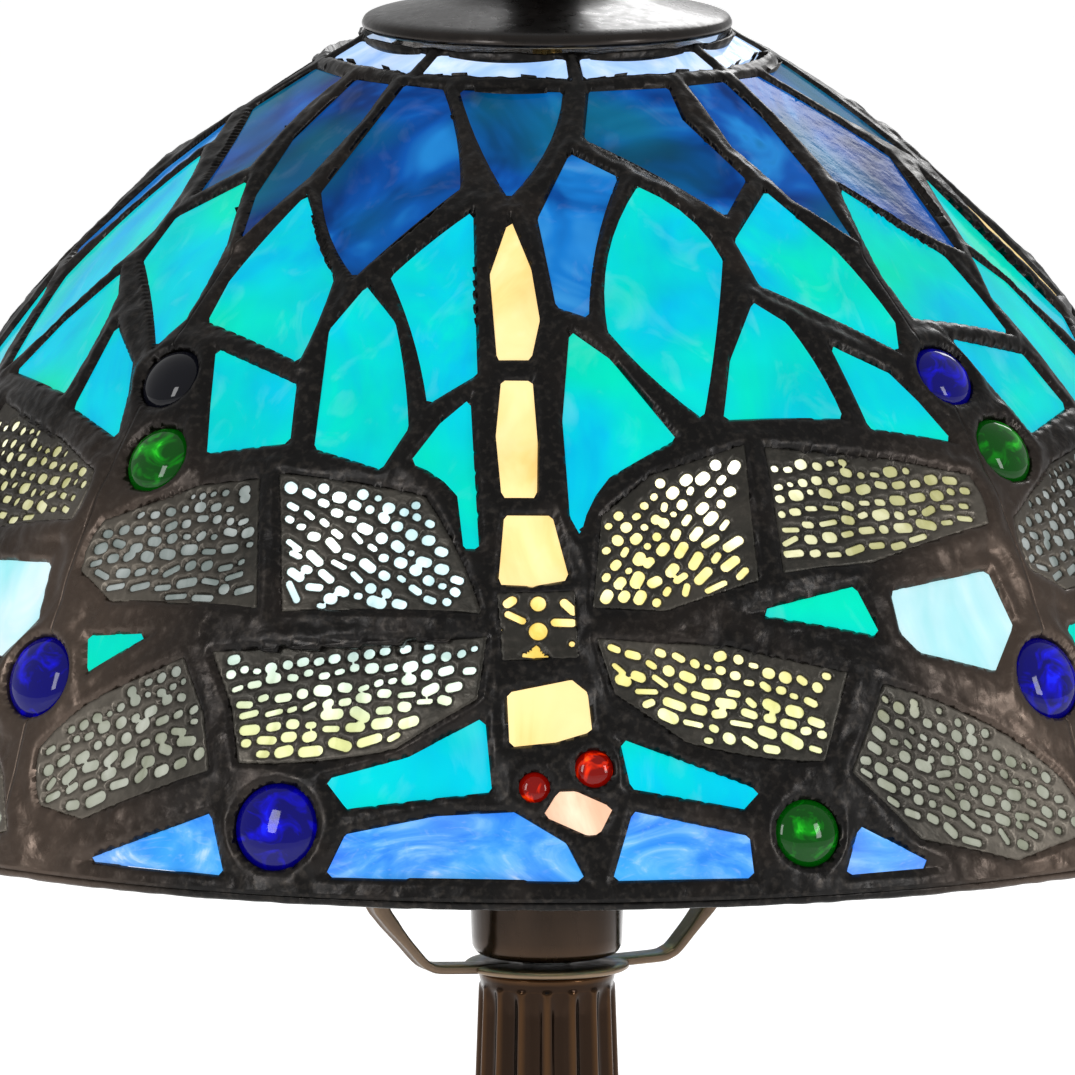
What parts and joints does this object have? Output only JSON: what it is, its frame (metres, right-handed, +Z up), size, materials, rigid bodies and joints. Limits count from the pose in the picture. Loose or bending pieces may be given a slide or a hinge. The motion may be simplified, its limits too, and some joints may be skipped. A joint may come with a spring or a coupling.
{
  "type": "stained glass table lamp",
  "caption": "Table lamp with a domed leaded glass shade of dragonflies and jewels, on a harp over a fluted bronze column and round foot.",
  "frame": {"origin": "centre of the underside of the felt pad, on the stem's axis", "axes": "+Z up along the stem; a dragonfly of the shade faces -Y; the cord leaves the foot towards +Y"},
  "size_m": [0.3082, 0.3082, 0.476],
  "materials": {
    "pale_blue_glass": "streaky pale blue opalescent sheet",
    "deep_blue_glass": "deep blue streaky opalescent sheet",
    "teal_glass": "teal to green streaky opalescent sheet",
    "cream_glass": "warm cream opalescent sheet",
    "clear_glass": "clear rippled sheet",
    "border_glass": "streaky mid blue opalescent sheet",
    "blue_jewel": "cobalt pressed glass",
    "green_jewel": "green pressed glass",
    "red_jewel": "red-orange pressed glass",
    "pierced_metal": "darkened pierced brass",
    "dark_solder": "dark patinated solder with coppery high spots",
    "bronze": "polished dark bronze",
    "harp_bronze": "satin brown bronze",
    "socket_bronze": "glossy dark bronze",
    "brass": "bare brass",
    "plated_steel": "zinc plated",
    "card_liner": "vulcanised fibre",
    "porcelain": "unglazed porcelain",
    "bushing_plastic": "black nylon",
    "cast_weight": "as cast",
    "felt": "dark green felt",
    "bulb_glass": "frosted",
    "bulb_metal": "satin"
  },
  "bodies": {
    "base": {"felt_pad": "felt", "foot": "bronze", "foot_weight": "cast_weight", "hex_nut": "plated_steel", "lock_washer": "plated_steel", "cord_bushing": "bushing_plastic", "threaded_pipe": "plated_steel", "column": "bronze", "harp_saddle": "harp_bronze", "socket_cup": "socket_bronze", "socket_liner": "card_liner", "socket_body": "porcelain", "screw_shell": "brass", "contact_tab": "brass", "terminal_screws": "brass"},
    "harp": {"harp": "harp_bronze"},
    "sleeve_left": {"harp_sleeve_left": "harp_bronze"},
    "sleeve_right": {"harp_sleeve_right": "harp_bronze"},
    "stud": {"harp_stud": "brass"},
    "shade": {"crown_glass": "pale_blue_glass", "petal_glass": "deep_blue_glass", "slip_glass": "deep_blue_glass", "upper_leaf_glass": "teal_glass", "lower_leaf_glass": "teal_glass", "tail_glass": "cream_glass", "thorax_glass": "cream_glass", "head_glass": "cream_glass", "inner_wing_glass": "clear_glass", "outer_wing_glass": "clear_glass", "wedge_glass": "teal_glass", "pale_panel_glass": "pale_blue_glass", "head_ground_glass": "teal_glass", "border_glass": "border_glass", "blue_jewels": "blue_jewel", "green_jewels": "green_jewel", "eye_jewels": "red_jewel", "inner_wing_overlay": "pierced_metal", "outer_wing_overlay": "pierced_metal", "thorax_overlay": "pierced_metal", "solder_lattice": "dark_solder", "rim_wire": "dark_solder", "inner_cap": "bronze", "vase_cap": "bronze"},
    "finial_lift": {"finial_insert": "brass"},
    "finial": {"finial": "bronze"},
    "bulb_lift": {"bulb_contact": "bulb_metal"},
    "bulb": {"bulb_envelope": "bulb_glass", "bulb_screw_cap": "bulb_metal", "bulb_mount": "bulb_glass", "bulb_filament": "bulb_metal"}
  },
  "joints": [
    {"name": "harp_lift", "type": "slide", "parent": "base", "child": "harp", "axis": [0, 0, 1], "range_m": [0, 0.009]},
    {"name": "sleeve_left_slide", "type": "slide", "parent": "harp", "child": "sleeve_left", "axis": [0, 0, 1], "range_m": [0, 0.015]},
    {"name": "sleeve_right_slide", "type": "slide", "parent": "harp", "child": "sleeve_right", "axis": [0, 0, 1], "range_m": [0, 0.015]},
    {"name": "shade_swivel", "type": "hinge", "parent": "harp", "child": "stud", "pos_m": [0, 0, 0.428], "axis": [0, 0, 1], "continuous": true},
    {"name": "shade_lift", "type": "slide", "parent": "stud", "child": "shade", "axis": [0, 0, 1], "range_m": [0, 0.03]},
    {"name": "finial_rise", "type": "slide", "parent": "shade", "child": "finial_lift", "axis": [0, 0, 1], "range_m": [0, 0.0108]},
    {"name": "finial_turn", "type": "hinge", "parent": "finial_lift", "child": "finial", "pos_m": [0, 0, 0.456], "axis": [0, 0, 1], "range_deg": [0, 3800]},
    {"name": "bulb_rise", "type": "slide", "parent": "base", "child": "bulb_lift", "axis": [0, 0, 1], "range_m": [0, 0.0202]},
    {"name": "bulb_turn", "type": "hinge", "parent": "bulb_lift", "child": "bulb", "pos_m": [0, 0, 0.281], "axis": [0, 0, 1], "range_deg": [0, 1980]}
  ],
  "couplings": [
    {"joint": "finial_rise", "follows": "finial_turn", "m_per_rad": 0.00014972},
    {"joint": "bulb_rise", "follows": "bulb_turn", "m_per_rad": 0.0005775}
  ]
}
